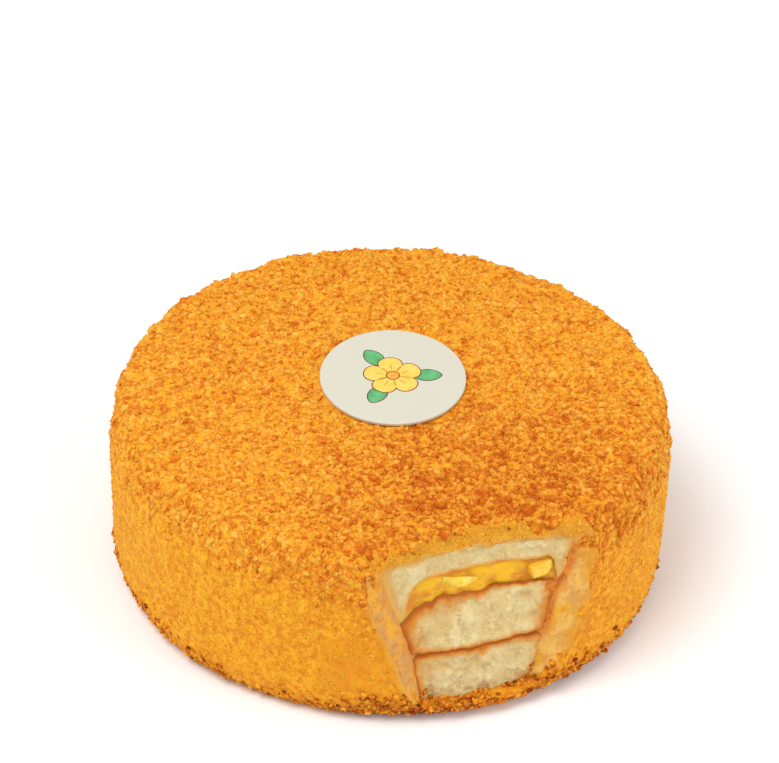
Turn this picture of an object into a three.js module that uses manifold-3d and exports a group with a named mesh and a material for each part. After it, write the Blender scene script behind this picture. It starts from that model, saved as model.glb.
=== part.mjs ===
// A round two-layer mango cake, coated in cream and cake crumbs, with a bite out of its side.
// Millimetres, +Z up. The origin is the middle of the flat base, and the bite faces -Y.
// Angles round the cake are in degrees from -Y towards +X.
import * as THREE from "three";
import { mergeVertices } from "three/addons/utils/BufferGeometryUtils.js";
import Module from "manifold-3d";

const wasm = await Module();
wasm.setup();

// The coat. Its crumbs stand out of it or lie in it by up to CRUMB_RELIEF, and lie off their even
// spacing by up to half of CRUMB_SHIFT of it. No crumbs stand within SMOOTH_RIM of the bite.
const COAT_RADIUS = 74.3;
const COAT_HEIGHT = 50.6;
const SHOULDER = { width: 6, height: 18, power: 1.9 };
const FOOT = { width: 5, height: 8, power: 2.1 };
const CRUMB_SPACING = 3.4;
const CRUMB_RELIEF = { top: 0.75, side: 0.5 };
const CRUMB_SHIFT = 0.35;
const SMOOTH_RIM = 4;
const OUTLINE_WOBBLE = 0.5;
const WOBBLE_SIZE = 60;
const TOP_SAG = 0.4;

// The layers, from the base up, with the gap that keeps neighbours apart
const GAP = 0.3;
const LAYER_RADIUS = 71;
const LEVELS = { base: 0, crust: 19.4, fillingLow: 33.8, fillingHigh: 40.3, top: 46.5 };
const SPONGE_EDGE = 2;
const BASE_EDGE = 4;
const LAYER_WAVE = 0.6;
const LAYER_SEGMENTS = 56;

// The filling's end, as [radius, how far below the filling's top], over which the top sponge hangs
// down. The sponge under both slopes away. Towards the cake's right, over SLUMP_OVER, that slope
// dies out and the end moves out by FURTHER of what it lacks of END_LIMIT.
const FILLING_END = [[65.2, 0], [68, 2.5], [70, 6.5]];
const END_LIMIT = 70.4;
const FURTHER = 0.6;
const SLUMP = { width: 5.5, height: 3.8 };
const SLUMP_OVER = 30;

// The printed disc that lies on top. It dips a little towards one side, where it has sunk in,
// and its middle lies a little to the other side of the cake's.
const DISC = { radius: 19.2, length: 1.05, thickness: 0.9, sunk: 0.2, segments: 72 };
const DISC_DIP = { tilt: 2.5, towards: -19.5, shiftedBack: 3.6 };
const DISC_SEAT = 24.5;

// How the bite goes in, level by level. reach is the radius left at its middle. sponge holds the
// angles at which it leaves the layers, to the left and to the right, and rim those at which it
// leaves the coat. A high power gives it a flat middle.
const BITE_RIM_RADIUS = 75;
const BITE_LEVELS = [
  { z: 4, reach: 69.6, sponge: [-11.5, 12.8], rim: [-13, 14.5], power: 5 },
  { z: 18.5, reach: 69.2, sponge: [-13.6, 15], rim: [-16.5, 23], power: 4 },
  { z: 31.5, reach: 65.6, sponge: [-16.6, 16.6], rim: [-20.8, 24.8], power: 2.8 },
  { z: 37, reach: 64.4, sponge: [-18.6, 19.4], rim: [-22, 25.5], power: 2.5 },
  { z: 46.5, reach: 62.6, sponge: [-20.6, 21.4], rim: [-23.4, 25.4], power: 2 },
  { z: 60, reach: 57, sponge: [-21.6, 22.4], rim: [-24.4, 26], power: 2 },
];
const BITE_FLOOR = { middle: 4.8, rise: 1.4 };
const BITE_TEAR = 0.45;
const BITE_STEPS = { across: 28, up: 16, spongeShare: 10 / 14, overrun: 1.4 };
const BITE_WIDEST = 30;
const CUT_BACK = { coat: 0.3, filling: 0.7, sponge: 0 };

// Cut pieces of mango that show in the filling: where they lie, and their half sizes
const MANGO_PIECES = [
  { name: "mango_piece_left", angle: -2.5, half: [7.2, 3.4, 2.1], turn: 6 },
  { name: "mango_piece_right", angle: 15.4, half: [4.2, 3, 2.2], turn: -8 },
];
const MANGO_STANDS_OUT = 0.9;
const MANGO_SQUARENESS = 0.45;

const MATERIALS = {
  coat: { color: 0xec9a33, roughness: 0.85 },
  sponge: { color: 0xe3cf98, roughness: 0.95 },
  filling: { color: 0xedb426, roughness: 0.35 },
  mango: { color: 0xfbc421, roughness: 0.3 },
  disc: { color: 0xe8e3cf, roughness: 0.6 },
};

const degrees = THREE.MathUtils.degToRad;
const mix = THREE.MathUtils.lerp;

// A number from 0 to 1 that depends only on two whole numbers
function speck(i, j) {
  let h = Math.imul(i + 374761393, 668265263) ^ Math.imul(j + 1274126177, 2246822519);
  h = Math.imul(h ^ (h >>> 15), 2246822519);
  h = Math.imul(h ^ (h >>> 13), 3266489917);
  return ((h ^ (h >>> 16)) >>> 0) / 4294967296;
}

// A slow rise and fall over the plan of the cake, between about -1 and 1
function wave(x, y, kind) {
  const broad = Math.sin(x / 17 + 1.3 * kind) * Math.cos(y / 21 - 0.7 * kind);
  const narrow = Math.sin(x / 6.5 + 2.1 * kind) * Math.cos(y / 7.5 + kind);
  return 0.65 * broad + 0.35 * narrow;
}

// A point at a radius and an angle, at height z
function around(radius, angle, z) {
  const turn = degrees(angle);
  return new THREE.Vector3(radius * Math.sin(turn), -radius * Math.cos(turn), z);
}

// A closed geometry as a solid that can be cut. Faces that collapse on the axis are dropped.
function toSolid(geometry) {
  const bare = new THREE.BufferGeometry();
  bare.setAttribute("position", geometry.getAttribute("position").clone());
  bare.setIndex(geometry.index);
  const merged = mergeVertices(bare, 1e-4);
  const corners = Array.from(merged.index.array);
  const kept = [];
  for (let k = 0; k < corners.length; k += 3) {
    const [a, b, c] = corners.slice(k, k + 3);
    if (a !== b && b !== c && c !== a) kept.push(a, b, c);
  }
  const vertProperties = merged.attributes.position.array;
  const triVerts = new Uint32Array(kept);
  return new wasm.Manifold(new wasm.Mesh({ numProp: 3, vertProperties, triVerts }));
}

// The largest body of a solid, as a named mesh
function toMesh(name, solid, material) {
  const bodies = solid.decompose().sort((a, b) => b.volume() - a.volume());
  const { vertProperties, triVerts } = bodies[0].getMesh();
  const geometry = new THREE.BufferGeometry();
  geometry.setAttribute("position", new THREE.BufferAttribute(vertProperties, 3));
  geometry.setIndex(new THREE.BufferAttribute(triVerts, 1));
  geometry.computeVertexNormals();
  const mesh = new THREE.Mesh(geometry, new THREE.MeshStandardMaterial(material));
  mesh.name = name;
  return mesh;
}

// A geometry from a list of points and of corner numbers
function fromPoints(points, corners) {
  return new THREE.BufferGeometry().setFromPoints(points).setIndex(corners);
}

// The bite's measures at one height, on its left (side 0) or its right (side 1)
function biteAt(z, side) {
  let k = 1;
  while (k < BITE_LEVELS.length - 1 && BITE_LEVELS[k].z < z) k += 1;
  const low = BITE_LEVELS[k - 1];
  const high = BITE_LEVELS[k];
  const share = THREE.MathUtils.clamp((z - low.z) / (high.z - low.z), 0, 1);
  return {
    reach: mix(low.reach, high.reach, share),
    power: mix(low.power, high.power, share),
    sponge: Math.abs(mix(low.sponge[side], high.sponge[side], share)),
    rim: Math.abs(mix(low.rim[side], high.rim[side], share)),
  };
}

// The radius left by the bite at an angle and a height
function biteRadius(angle, z) {
  const { reach, power, sponge, rim } = biteAt(z, angle < 0 ? 0 : 1);
  const share = Math.abs(angle) / sponge;
  if (share >= 1) {
    const past = (Math.abs(angle) - sponge) / (rim - sponge);
    return mix(LAYER_RADIUS, BITE_RIM_RADIUS, past);
  }
  const tear = Math.sin(angle * 0.83 + z * 0.31) * Math.cos(z * 0.47 - angle * 0.22 + 1);
  return mix(reach, LAYER_RADIUS, share ** power) + BITE_TEAR * tear * (1 - share ** 2);
}

// The space that the bite takes away, set back by a little for what crumbled further
function biteSpace(setBack) {
  const { across, up } = BITE_STEPS;
  const far = BITE_RIM_RADIUS + 15;
  const topLevel = BITE_LEVELS.at(-1).z;
  const points = [];
  for (const outer of [0, 1]) {
    for (let j = 0; j <= up; j += 1) {
      for (let i = 0; i <= across; i += 1) {
        const side = (2 * i) / across - 1;
        const z = mix(BITE_FLOOR.middle + BITE_FLOOR.rise * side ** 2, topLevel, j / up);
        const { sponge, rim } = biteAt(z, side < 0 ? 0 : 1);
        const within = Math.abs(side) / BITE_STEPS.spongeShare;
        const past = Math.max(0, (within - 1) / (1 / BITE_STEPS.spongeShare - 1));
        const beyond = BITE_STEPS.overrun * past * (rim - sponge);
        const angle = Math.sign(side) * (Math.min(within, 1) * sponge + beyond);
        const radius = outer ? far : biteRadius(angle, z) - setBack;
        points.push(around(radius, angle, z));
      }
    }
  }
  const at = (outer, i, j) => (outer * (up + 1) + j) * (across + 1) + i;
  const corners = [];
  const quad = (a, b, c, d) => corners.push(a, b, c, a, c, d);
  for (let i = 0; i < across; i += 1) {
    for (let j = 0; j < up; j += 1) {
      quad(at(1, i, j), at(1, i + 1, j), at(1, i + 1, j + 1), at(1, i, j + 1));
      quad(at(0, i, j), at(0, i, j + 1), at(0, i + 1, j + 1), at(0, i + 1, j));
    }
    quad(at(0, i, 0), at(0, i + 1, 0), at(1, i + 1, 0), at(1, i, 0));
    quad(at(0, i, up), at(1, i, up), at(1, i + 1, up), at(0, i + 1, up));
  }
  for (let j = 0; j < up; j += 1) {
    quad(at(0, 0, j), at(1, 0, j), at(1, 0, j + 1), at(0, 0, j + 1));
    quad(at(0, across, j), at(0, across, j + 1), at(1, across, j + 1), at(1, across, j));
  }
  return toSolid(fromPoints(points, corners));
}

// The coat's outline from the middle of its top down to the base, as [radius, height]
function coatOutline() {
  const outline = new THREE.Path();
  outline.moveTo(0, COAT_HEIGHT);
  const corner = (rule, radiusAt, heightAt, from) => {
    for (let k = 0; k <= 24; k += 1) {
      const turn = (Math.PI / 2) * Math.abs(from - k / 24);
      const out = Math.cos(turn) ** (2 / rule.power);
      const up = Math.sin(turn) ** (2 / rule.power);
      outline.lineTo(radiusAt(out), heightAt(up));
    }
  };
  corner(SHOULDER, (out) => COAT_RADIUS - SHOULDER.width * (1 - out),
    (up) => COAT_HEIGHT - SHOULDER.height * (1 - up), 1);
  corner(FOOT, (out) => COAT_RADIUS - FOOT.width * (1 - out),
    (up) => FOOT.height * (1 - up), 0);
  return outline;
}

// How much of the crumb relief stands at a place: none round the bite's rim or under the disc
function reliefShare(radius, angle, z) {
  const { x, y } = around(radius, angle, z);
  if (z < 0.5 || (z > COAT_HEIGHT - 1 && onDisc(x, y).away < DISC_SEAT)) return 0;
  const rim = biteRadius(angle, Math.max(z, BITE_FLOOR.middle));
  const level = Math.abs(angle) < BITE_WIDEST && z > BITE_FLOOR.middle;
  return level && radius > rim - SMOOTH_RIM ? 0 : 1;
}

// How far a place on the plan lies from the disc's middle, and how far towards its low side
function onDisc(x, y) {
  const middle = around(-DISC_DIP.shiftedBack, DISC_DIP.towards, 0);
  const low = around(1, DISC_DIP.towards, 0);
  const [dx, dy] = [x - middle.x, y - middle.y];
  return { away: Math.hypot(dx, dy), lowSide: dx * low.x + dy * low.y };
}

// How far the disc's seat lies above the coat's usual height, at a place on the plan
function seatRise(x, y) {
  return -DISC.sunk - onDisc(x, y).lowSide * Math.tan(degrees(DISC_DIP.tilt));
}

// One ring of the coat's outside, as numbered points, with crumbs standing out of it
function coatRing(points, [radius, height], [outward, upward], row) {
  const count = Math.max(7, Math.round((2 * Math.PI * radius) / CRUMB_SPACING));
  const ring = { first: points.length, count, phase: (row % 2) / 2 };
  for (let k = 0; k < count; k += 1) {
    const angle = (360 * (k + ring.phase)) / count - 180;
    const share = reliefShare(radius, angle, height);
    const tall = mix(CRUMB_RELIEF.side, CRUMB_RELIEF.top, upward);
    const stand = share * tall * (2 * speck(k, row) - 1);
    const sideways = share * CRUMB_SHIFT * CRUMB_SPACING * (speck(k, row + 500) - 0.5);
    const on = around(radius, angle, height);
    const onOutline = around(WOBBLE_SIZE, angle, 0);
    const wobble = OUTLINE_WOBBLE * wave(onOutline.x, onOutline.y, 5);
    const seated = upward > 0.9 && onDisc(on.x, on.y).away < DISC_SEAT;
    const rise = seated ? seatRise(on.x, on.y) : TOP_SAG * wave(on.x, on.y, 2);
    const out = radius + outward * (stand + wobble);
    const high = Math.max(0, height + upward * (stand + rise));
    const turn = THREE.MathUtils.radToDeg(sideways / radius);
    points.push(around(out, angle + turn, high));
  }
  return ring;
}

// Triangles between two neighbouring rings, the first nearer the middle of the top
function stitch(corners, inner, outer) {
  const number = (ring, k) => ring.first + (k % ring.count);
  const turnOf = (ring, k) => (k + ring.phase) / ring.count;
  let i = 0;
  let o = 0;
  while (i < inner.count || o < outer.count) {
    const here = [number(inner, i), number(outer, o)];
    if (o >= outer.count || (i < inner.count && turnOf(inner, i + 1) <= turnOf(outer, o + 1))) {
      i += 1;
      corners.push(...here, number(inner, i));
    } else {
      o += 1;
      corners.push(...here, number(outer, o));
    }
  }
}

// The coat's outside as one solid, top to base
function coatOutside() {
  const outline = coatOutline();
  const rows = Math.round(outline.getLength() / CRUMB_SPACING);
  const points = [new THREE.Vector3(0, 0, COAT_HEIGHT + seatRise(0, 0))];
  const corners = [];
  let last;
  for (let row = 1; row <= rows; row += 1) {
    const spot = outline.getPointAt(row / rows);
    const before = outline.getPointAt((row - 0.4) / rows);
    const away = row === rows ? [0, 0] : [before.y - spot.y, spot.x - before.x];
    const length = Math.hypot(...away) || 1;
    const ring = coatRing(points, [spot.x, spot.y], away.map((v) => v / length), row);
    if (last) stitch(corners, last, ring);
    else for (let k = 0; k < ring.count; k += 1)
      corners.push(0, ring.first + k, ring.first + ((k + 1) % ring.count));
    last = ring;
  }
  points.push(new THREE.Vector3(0, 0, 0));
  for (let k = 0; k < last.count; k += 1)
    corners.push(points.length - 1, last.first + ((k + 1) % last.count), last.first + k);
  return toSolid(fromPoints(points, corners));
}

// A solid of revolution about Z from an outline of [radius, height] points that climbs
function turned(outline, segments) {
  const profile = outline.map(([radius, height]) => new THREE.Vector2(radius, height));
  return new THREE.LatheGeometry(profile, segments).rotateX(Math.PI / 2);
}

// The hollow in the coat that the layers fill
function coatHollow() {
  const radius = LAYER_RADIUS + GAP;
  const roof = LEVELS.top + GAP;
  return toSolid(turned([[0, -5], [radius - BASE_EDGE, -5], [radius - BASE_EDGE, 0],
    [radius, BASE_EDGE], [radius, roof - SPONGE_EDGE], [radius - SPONGE_EDGE, roof], [0, roof]],
  LAYER_SEGMENTS));
}

// How far a level lies above or below its even height. The base and the very top are flat.
const LEVEL_HEIGHTS = Object.values(LEVELS);
function levelRise(x, y, z) {
  let k = 1;
  while (k < LEVEL_HEIGHTS.length - 1 && LEVEL_HEIGHTS[k] < z) k += 1;
  const [low, high] = [LEVEL_HEIGHTS[k - 1], LEVEL_HEIGHTS[k]];
  const share = THREE.MathUtils.clamp((z - low) / (high - low), 0, 1);
  const waveOf = (kind) => (kind % (LEVEL_HEIGHTS.length - 1) ? wave(x, y, kind) : 0);
  const slumped = 1 - Math.abs(z - LEVELS.fillingLow) / (LEVELS.fillingLow - LEVELS.crust);
  const outward = (Math.hypot(x, y) - LAYER_RADIUS + SLUMP.width) / SLUMP.width;
  const slump = Math.max(0, slumped) * Math.max(0, outward) * (1 - rightShare(x));
  return LAYER_WAVE * mix(waveOf(k - 1), waveOf(k), share) - SLUMP.height * slump;
}

// From 0 on the cake's left to 1 on its right
function rightShare(x) {
  return THREE.MathUtils.clamp(0.5 + x / SLUMP_OVER, 0, 1);
}

// A layer from its outline, in which a third number marks the points of the filling's end.
// Neighbours follow the same levels, so they fit each other.
function layer(outline) {
  const geometry = turned(outline, LAYER_SEGMENTS);
  const spots = geometry.getAttribute("position");
  for (let k = 0; k < spots.count; k += 1) {
    const [radius, , isEnd] = outline[k % outline.length];
    const [x, y, z] = [spots.getX(k), spots.getY(k), spots.getZ(k)];
    const wider = isEnd ? mix(1, END_LIMIT / radius, FURTHER * rightShare(x)) : 1;
    spots.setXYZ(k, x * wider, y * wider, z + levelRise(x * wider, y * wider, z));
  }
  return toSolid(geometry);
}

// A rounded piece of mango that looks out of the filling at the bite
function mangoPiece({ angle, half, turn }, grow) {
  const middle = (LEVELS.fillingLow + LEVELS.fillingHigh) / 2;
  const shape = new THREE.IcosahedronGeometry(1, 2);
  const spots = shape.getAttribute("position");
  for (let k = 0; k < spots.count; k += 1) {
    const at = new THREE.Vector3().fromBufferAttribute(spots, k);
    const most = Math.max(Math.abs(at.x), Math.abs(at.y), Math.abs(at.z));
    at.multiplyScalar(mix(1, 0.8 / most, MANGO_SQUARENESS));
    spots.setXYZ(k, at.x * (half[0] + grow), at.y * (half[1] + grow), at.z * (half[2] + grow));
  }
  const radius = biteRadius(angle, middle) - CUT_BACK.filling - half[1] + MANGO_STANDS_OUT;
  const place = around(radius, angle, middle);
  const rise = levelRise(place.x, place.y, middle);
  shape.rotateY(degrees(turn)).rotateZ(degrees(angle));
  return toSolid(shape.translate(place.x, place.y, middle + rise));
}

const cake = new THREE.Group();
const add = (name, solid, material) => cake.add(toMesh(name, solid, MATERIALS[material]));

add("crumb_coat",
  coatOutside().subtract(coatHollow()).subtract(biteSpace(CUT_BACK.coat)), "coat");

// The layers' outlines, each from the middle of its underside out and up to the middle of its top
const spongeBite = biteSpace(CUT_BACK.sponge);
const { base, crust, fillingLow, fillingHigh, top } = LEVELS;
const MIDWAY = LAYER_RADIUS * 0.6;
const CORNER = LAYER_RADIUS - SPONGE_EDGE;
const SLOPE_FROM = LAYER_RADIUS - SLUMP.width;
const addSponge = (name, outline) => add(name, layer(outline).subtract(spongeBite), "sponge");
addSponge("sponge_bottom", [[0, base], [MIDWAY, base], [LAYER_RADIUS - BASE_EDGE, base],
  [LAYER_RADIUS, BASE_EDGE], [LAYER_RADIUS, crust - GAP - SPONGE_EDGE], [CORNER, crust - GAP],
  [MIDWAY, crust - GAP], [0, crust - GAP]]);
addSponge("sponge_middle", [[0, crust], [MIDWAY, crust], [CORNER, crust],
  [LAYER_RADIUS, crust + SPONGE_EDGE], [LAYER_RADIUS, fillingLow - GAP],
  [SLOPE_FROM, fillingLow - GAP], [MIDWAY, fillingLow - GAP], [0, fillingLow - GAP]]);
const hanging = FILLING_END.map(([radius, down], k) =>
  [radius, fillingHigh - down + (k < FILLING_END.length - 1 ? GAP : 0), 1]);
addSponge("sponge_top", [[0, fillingHigh + GAP], [MIDWAY, fillingHigh + GAP], ...hanging,
  [LAYER_RADIUS, fillingLow], [LAYER_RADIUS, top - SPONGE_EDGE], [CORNER, top],
  [MIDWAY, top], [0, top]]);

const fillingEnd = FILLING_END.map(([radius, down]) =>
  [radius - 1.5 * GAP, fillingHigh - down, 1]).reverse();
let filling = layer([[0, fillingLow], [MIDWAY, fillingLow], [SLOPE_FROM, fillingLow],
  ...fillingEnd, [MIDWAY, fillingHigh], [0, fillingHigh]])
  .subtract(biteSpace(CUT_BACK.filling));
for (const piece of MANGO_PIECES) {
  filling = filling.subtract(mangoPiece(piece, GAP));
  add(piece.name, mangoPiece(piece, 0), "mango");
}
add("mango_filling", filling, "filling");

const disc = new THREE.CylinderGeometry(DISC.radius, DISC.radius, DISC.thickness, DISC.segments);
disc.rotateX(Math.PI / 2).scale(1, DISC.length, 1);
disc.rotateX(degrees(DISC_DIP.tilt)).rotateZ(degrees(DISC_DIP.towards));
const discHeight = COAT_HEIGHT - DISC.sunk + GAP + DISC.thickness / 2;
disc.translate(...around(-DISC_DIP.shiftedBack, DISC_DIP.towards, discHeight));
add("topper_disc", toSolid(disc), "disc");

export default cake;
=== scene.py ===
# %% [markdown]
# A round mango cake in a coat of cream and cake crumbs, with a bite out of its side. The solids of
# the cake come packed as a frame, and this lesson gives them their looks: torn sponge, glossy
# mango, smooth cream and about twenty thousand crumbs. Everything is in metres in the file, but
# the rules below count in millimetres, because that is how a baker would measure them.

# %% Load the frame
import math
from itertools import product

import bmesh
import bpy
import numpy as np
from mathutils import Matrix, Vector
from mathutils.kdtree import KDTree


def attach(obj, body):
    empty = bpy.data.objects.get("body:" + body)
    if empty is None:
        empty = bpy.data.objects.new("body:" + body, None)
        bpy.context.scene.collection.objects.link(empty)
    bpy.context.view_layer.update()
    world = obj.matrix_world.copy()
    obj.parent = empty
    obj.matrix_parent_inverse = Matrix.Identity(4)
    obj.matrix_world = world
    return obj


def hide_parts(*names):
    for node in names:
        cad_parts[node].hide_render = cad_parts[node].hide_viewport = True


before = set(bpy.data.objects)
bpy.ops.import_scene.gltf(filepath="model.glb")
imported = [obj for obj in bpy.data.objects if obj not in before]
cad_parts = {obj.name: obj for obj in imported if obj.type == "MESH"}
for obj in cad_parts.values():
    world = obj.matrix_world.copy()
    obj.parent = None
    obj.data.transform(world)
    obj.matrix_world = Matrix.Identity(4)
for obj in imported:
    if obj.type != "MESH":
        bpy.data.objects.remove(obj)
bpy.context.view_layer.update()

MM = 0.001


def put(name, data):
    """A new object in the scene."""
    thing = bpy.data.objects.new(name, data)
    bpy.context.collection.objects.link(thing)
    return thing


def turned(degrees, axis):
    return Matrix.Rotation(math.radians(degrees), 4, axis)


# %% [markdown]
# The camera comes first, because every later choice is judged through it. It looks down on the
# cake at 37 degrees from a little to the left of the bite. A long lens, far away, keeps the cake's
# round outline calm. The turn about its own axis follows the photo, which hangs slightly askew.

# %% Camera
FRAME = (779, 763)
FOCAL_PIXELS = 2431.8
SEEN_FROM = {"azimuth": -19.5, "elevation": 37.13, "distance": 650.0}
AIM = {"height": 25.0, "across": 392.7, "down": 464.7, "roll": 2.07}


def off_axis(pixel, size):
    """How far a pixel lies off the middle of the picture, in degrees."""
    return math.degrees(math.atan2(pixel - size / 2, FOCAL_PIXELS))


lens = bpy.data.cameras.new("camera")
lens.sensor_fit = "HORIZONTAL"
lens.sensor_width = 36
lens.lens = 36 * FOCAL_PIXELS / FRAME[0]
lens.clip_start = 0.01
camera = put("camera", lens)
rise = math.radians(SEEN_FROM["elevation"])
place = Vector((0, -math.cos(rise), math.sin(rise))) * SEEN_FROM["distance"]
place.z += AIM["height"]
camera.matrix_world = (turned(SEEN_FROM["azimuth"], "Z") @ Matrix.Translation(place * MM)
                       @ turned(90 - SEEN_FROM["elevation"] + off_axis(AIM["down"], FRAME[1]), "X")
                       @ turned(off_axis(AIM["across"], FRAME[0]), "Y") @ turned(AIM["roll"], "Z"))
bpy.context.scene.camera = camera
print("the lens is", round(lens.lens, 1), "mm")

# %% [markdown]
# Nodes are written as sums. A wire is one output of a node. It knows how to add, subtract,
# multiply and divide, so a line of Python reads like the rule that it stands for, and the Math
# nodes are made as it is read. The same bench serves shader trees and geometry trees, and a
# finish is the bench of one material.

# %% Wires, benches and finishes


def pick(sockets, key):
    """A socket by its number, its identifier or its name."""
    if isinstance(key, int):
        return sockets[key]
    exact = [socket for socket in sockets if socket.identifier == key]
    return (exact + [socket for socket in sockets if socket.name == key and socket.enabled])[0]


def operation(kind, swapped=False):
    """A method that makes one Math node."""
    def method(self, other):
        return self.bench.math(kind, *((other, self) if swapped else (self, other)))
    return method


class Wire:
    """One output of a node, to be reckoned with like a number."""
    __add__ = __radd__ = operation("ADD")
    __sub__ = operation("SUBTRACT")
    __rsub__ = operation("SUBTRACT", swapped=True)
    __mul__ = __rmul__ = operation("MULTIPLY")
    __truediv__ = operation("DIVIDE")
    __rtruediv__ = operation("DIVIDE", swapped=True)
    __pow__ = operation("POWER")
    least = operation("MINIMUM")
    most = operation("MAXIMUM")

    def __init__(self, bench, socket):
        self.bench = bench
        self.socket = socket

    def other(self, output):
        """Another output of the same node."""
        return Wire(self.bench, pick(self.socket.node.outputs, output))

    def step(self, low, high):
        """0 below low, 1 above high, and a smooth rise between them."""
        return self.bench.add("ShaderNodeMapRange", {"Value": self, "From Min": low, "From Max": high},
                              interpolation_type="SMOOTHSTEP")


class Bench:
    """Makes nodes in a tree and wires them up."""
    def __init__(self, tree):
        self.tree = tree

    def add(self, kind, values=None, output=0, **settings):
        """A node with its inputs and settings, as the wire of one of its outputs."""
        node = self.tree.nodes.new(kind)
        for name, value in settings.items():
            setattr(node, name, value)
        for key, value in (values or {}).items():
            self.feed(node, key, value)
        return Wire(self, pick(node.outputs, output))

    def feed(self, node, key, value):
        socket = pick(node.inputs, key)
        if isinstance(value, Wire):
            self.tree.links.new(value.socket, socket)
        else:
            socket.default_value = value

    def math(self, kind, *values):
        return self.add("ShaderNodeMath", dict(enumerate(values)), operation=kind)

    def vector(self, kind, *values, output=0):
        return self.add("ShaderNodeVectorMath", dict(enumerate(values)), output, operation=kind)

    def part(self, vector, axis):
        return self.add("ShaderNodeSeparateXYZ", {0: vector}, axis)

    def joined(self, x=0.0, y=0.0, z=0.0):
        return self.add("ShaderNodeCombineXYZ", {"X": x, "Y": y, "Z": z})

    def mix(self, share, first, second):
        """Two colours blended. Each is a wire, or red, green and blue as seen on a screen."""
        first, second = (tone if isinstance(tone, Wire) else colour(*tone) for tone in (first, second))
        values = {"Factor_Float": share, "A_Color": first, "B_Color": second}
        return self.add("ShaderNodeMix", values, "Result_Color", data_type="RGBA", clamp_factor=True)

    def paint(self, body, *coats):
        """Colours laid over one another, each told as its share and itself."""
        for share, tone in coats:
            body = self.mix(share, body, tone)
        return body


class Finish(Bench):
    """A material that is being made. Here is the place on the object."""
    def __init__(self, name):
        self.material = bpy.data.materials.new(name)
        self.material.use_nodes = True
        super().__init__(self.material.node_tree)
        self.tree.nodes.clear()
        end = self.tree.nodes.new("ShaderNodeOutputMaterial")
        self.shader = self.tree.nodes.new("ShaderNodeBsdfPrincipled")
        self.tree.links.new(self.shader.outputs[0], end.inputs[0])
        self.here = self.add("ShaderNodeTexCoord", output="Object")

    def own(self, mark):
        """A number that the mesh carries on its points."""
        return self.add("ShaderNodeAttribute", output="Fac", attribute_name=mark)

    def noise(self, size, detail=2.0, rough=0.5, shift=0.0, squeeze=(1.0, 1.0, 1.0)):
        """Soft noise whose lumps are about size millimetres across, from 0 to 1."""
        place = self.vector("MULTIPLY", self.here, squeeze)
        place = self.vector("ADD", place, (shift * MM, -shift * MM, 2 * shift * MM))
        values = {"Vector": place, "Scale": 1 / (size * MM), "Detail": detail, "Roughness": rough}
        return self.add("ShaderNodeTexNoise", values)

    def done(self, body, rough, bumps=None, glow=(0.0, 1.0), gloss=(0.0, 0.0), specular=0.5):
        """Feeds the shader. Bumps are a height, its depth and its strength. Glow is the share of
        light that goes into cake, cream or fruit and comes out warmer, and how deep it goes. Gloss
        is a clear coat and its roughness."""
        fixed = {"Subsurface Weight": glow[0], "Subsurface Scale": glow[1] * MM,
                 "Subsurface Radius": (1.0, 0.5, 0.15), "Coat Weight": gloss[0],
                 "Coat Roughness": gloss[1], "Specular IOR Level": specular}
        for key, value in {"Base Color": body, "Roughness": rough, **fixed}.items():
            self.feed(self.shader, key, value)
        if bumps:
            height, depth, strength = bumps
            values = {"Height": height, "Distance": depth * MM, "Strength": strength}
            self.feed(self.shader, "Normal", self.add("ShaderNodeBump", values))
        return self.material


def colour(red, green, blue):
    """A colour as seen on a screen, 0 to 255, as the shader wants it."""
    return tuple((c / 255 / 12.92) if c < 11 else ((c / 255 + 0.055) / 1.055) ** 2.4
                 for c in (red, green, blue)) + (1.0,)


def geometry_tree(name, inputs):
    """A geometry tree's bench, and its inputs as wires. A material is always the last of them."""
    tree = bpy.data.node_groups.new(name, "GeometryNodeTree")
    for title, kind in {"Geometry": "Geometry", **inputs, "Material": "Material"}.items():
        tree.interface.new_socket(title, in_out="INPUT", socket_type="NodeSocket" + kind)
    tree.interface.new_socket("Geometry", in_out="OUTPUT", socket_type="NodeSocketGeometry")
    bench = Bench(tree)
    start = tree.nodes.new("NodeGroupInput")
    return bench, {socket.name: Wire(bench, socket) for socket in start.outputs if socket.name}


def end_tree(bench, geometry, material):
    done = bench.add("GeometryNodeSetMaterial", {"Geometry": geometry, "Material": material})
    end = bench.tree.nodes.new("NodeGroupOutput")
    bench.tree.links.new(done.socket, end.inputs[0])
    return bench.tree


def run_tree(tree, name, mesh, told):
    """What a geometry tree makes of a mesh, as an object with a plain mesh."""
    thing = put(name, mesh)
    modifier = thing.modifiers.new("tree", "NODES")
    modifier.node_group = tree
    for socket in tree.interface.items_tree:
        if socket.in_out == "INPUT" and socket.name in told:
            modifier[socket.identifier] = told[socket.name]
    depsgraph = bpy.context.evaluated_depsgraph_get()
    plain = bpy.data.meshes.new_from_object(thing.evaluated_get(depsgraph),
                                            preserve_all_data_layers=True, depsgraph=depsgraph)
    thing.modifiers.clear()
    thing.data = plain
    return thing


print("the bench is ready")

# %% [markdown]
# The cake's shape is a set of rules, the same that its solids follow. Angles go round the cake
# from the middle of the bite towards its right. The bite is told level by level: how much of the
# radius is left at its middle, where it leaves the layers, and where it leaves the coat.

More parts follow.
